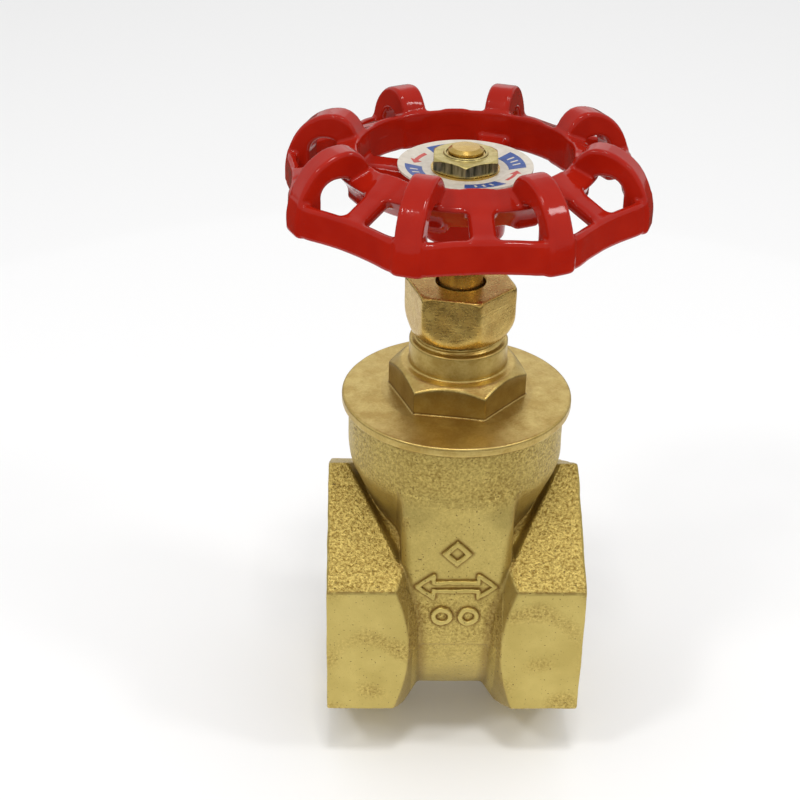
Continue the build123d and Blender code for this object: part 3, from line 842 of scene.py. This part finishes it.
def wheel_piece():
    high = (WHEEL_R, WHEEL_R, ARCH_PEAK[1])
    low = (-WHEEL_R, -WHEEL_R, HUB_Z[0])
    step = 0.42
    field_piece("handwheel_casting", handwheel_field, low, high, step, RED, "spindle", "handwheel")


# ---- nameplate ----
def plate_point(spot, lift):
    """A point on the dished nameplate, raised by lift."""
    r, azimuth = spot
    height = PLATE_Z + max(0.0, r - PLATE_FLAT_R) * PLATE_SLOPE + lift
    return r * sin(azimuth) * MM, -r * cos(azimuth) * MM, (FLOW_Z + height) * MM


def printed_patch(name, inner, outer, lifts, material):
    """A thin printed band on the nameplate between two rails of (radius, azimuth) points."""
    n = len(inner)
    verts = [plate_point(spot, lift) for lift in lifts for rail in (inner, outer) for spot in rail]
    faces = []
    for i in range(n - 1):
        j = i + 1
        faces += [(i, j, n + j, n + i), (2 * n + i, 3 * n + i, 3 * n + j, 2 * n + j)]
        faces += [(i, 2 * n + i, 2 * n + j, j), (n + i, n + j, 3 * n + j, 3 * n + i)]
    for i in (0, n - 1):
        faces.append((i, n + i, 3 * n + i, 2 * n + i))
    finish_piece(name, closed_mesh(name, verts, faces), material, "spindle")


def arc(r, low, high):
    return [(r, radians(low + (high - low) * i / 8)) for i in range(9)]


def printed_arc(name, radii, low, high, lifts, material):
    printed_patch(name, arc(radii[0], low, high), arc(radii[1], low, high), lifts, material)


def nameplate_print():
    """Plain blocks with bars in the place of lettering, and two arrows the way the wheel turns."""
    for number, azimuth in enumerate((17, 107, 197, 287), 1):
        low, high = azimuth - BLOCK_HALF, azimuth + BLOCK_HALF
        printed_arc(f"nameplate_block_{number}", BLOCK_R, low, high, PRINT_LIFT, BLUE)
        for bar in (-1, 0, 1):
            middle = azimuth + BAR_STEP * bar
            name = f"nameplate_bar_{number}_{bar + 2}"
            printed_arc(name, BAR_R, middle - BAR_HALF, middle + BAR_HALF, OVERPRINT_LIFT, WHITE)
    for number, azimuth in enumerate((62, 242), 1):
        low, high = azimuth + ARROW_SWEEP[0], azimuth + ARROW_SWEEP[1]
        printed_arc(f"nameplate_arrow_{number}", ARROW_R, low, high, PRINT_LIFT, RED_INK)
        angles = radians(high), radians(high + HEAD_SWEEP)
        inner, outer = (list(zip(radii, angles)) for radii in HEAD_R)
        printed_patch(f"nameplate_arrowhead_{number}", inner, outer, PRINT_LIFT, RED_INK)


# ---- carried-over CAD nodes ----
def carried_over():
    """Looks for the nodes that keep their CAD mesh."""
    looks = {
        "wedge_gate": BRIGHT, "stem_retaining_nut": BRIGHT, "packing_washer": BRIGHT,
        "gland_follower": BRIGHT, "stem": BRIGHT, "wheel_washer": BRIGHT, "nameplate": WHITE,
        "thrust_washer": PTFE, "bonnet_gasket": FIBRE,
        "packing_ring_1": PTFE, "packing_ring_2": PTFE, "packing_ring_3": PTFE,
    }
    for node, material in looks.items():
        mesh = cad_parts[node].data
        mesh.materials.clear()
        mesh.materials.append(material)


# ---- floor, lights and camera ----
def stage_piece(name, points, faces, colour, roughness):
    mesh = bpy.data.meshes.new(name)
    mesh.from_pydata(points, [], faces)
    piece = bpy.data.objects.new(name, mesh)
    bpy.context.scene.collection.objects.link(piece)
    m = Nodes(name)
    m.set(Base_Color=colour, Roughness=roughness)
    mesh.materials.append(m.material)
    return piece


def floor():
    side = 3.0
    corners = [(-side, -side, 0), (side, -side, 0), (side, side, 0), (-side, side, 0)]
    stage_piece("floor", corners, [(0, 1, 2, 3)], (0.92, 0.92, 0.92, 1), 0.9)


def dark_surround():
    """The dim room round the white table, seen only in the valve's reflections."""
    steps = 48
    points = []
    for radius, height in ((0.235, 0.002), (1.6, 0.002)):
        for i in range(steps):
            angle = 2 * pi * i / steps
            points.append((radius * cos(angle), 0.06 + radius * sin(angle), height))
    faces = [(i, (i + 1) % steps, steps + (i + 1) % steps, steps + i) for i in range(steps)]
    room = stage_piece("dark_surround", points, faces, (0.05, 0.035, 0.02, 1), 0.8)
    room.visible_camera = False
    room.visible_diffuse = False
    room.visible_shadow = False
    room.visible_transmission = False


def area_light(name, place, aim, size, power):
    data = bpy.data.lights.new(name, "AREA")
    data.shape = "RECTANGLE"
    data.size, data.size_y = size
    data.energy = power
    lamp = bpy.data.objects.new(name, data)
    lamp.location = place
    lamp.rotation_euler = (Vector(aim) - Vector(place)).to_track_quat("-Z", "Y").to_euler()
    bpy.context.scene.collection.objects.link(lamp)


def lights():
    middle = (0, 0, 0.07)
    area_light("key", (-0.45, -0.35, 0.75), middle, (0.12, 0.12), 1.2)
    area_light("fill", (0.55, -0.25, 0.65), middle, (0.12, 0.12), 0.9)
    area_light("top", (0.0, -0.3, 0.95), middle, (0.12, 0.12), 2.1)
    area_light("behind", (0.06, 0.8, 0.53), middle, (0.5, 0.4), 0.3)
    world = bpy.data.worlds.new("studio")
    world.use_nodes = True
    background = world.node_tree.nodes["Background"].inputs
    background["Color"].default_value = (1.0, 1.0, 1.0, 1)
    background["Strength"].default_value = 0.76
    bpy.context.scene.world = world


def camera():
    pitch, yaw, roll = radians(29.62), radians(-1.626), radians(1.161)
    forward = Vector((-sin(yaw) * cos(pitch), cos(yaw) * cos(pitch), -sin(pitch)))
    right = Vector((cos(yaw), sin(yaw), 0))
    up = right.cross(forward)
    right, up = cos(roll) * right + sin(roll) * up, cos(roll) * up - sin(roll) * right
    data = bpy.data.cameras.new("camera")
    data.lens = 73.76
    data.sensor_width = 36
    data.clip_start = 0.01
    shot = bpy.data.objects.new("camera", data)
    place = Vector((-21.14, -311.70, 225.17 + FLOW_Z)) * MM
    facing = Matrix((right, up, -forward)).transposed().to_4x4()
    shot.matrix_world = Matrix.Translation(place) @ facing
    bpy.context.scene.collection.objects.link(shot)
    bpy.context.scene.camera = shot


camera()
lights()
floor()
dark_surround()
body_piece()
cast_marks()
pipe_threads()
machined_pieces()
wheel_piece()
nameplate_print()
carried_over()

bpy.context.scene.view_settings.view_transform = "Standard"
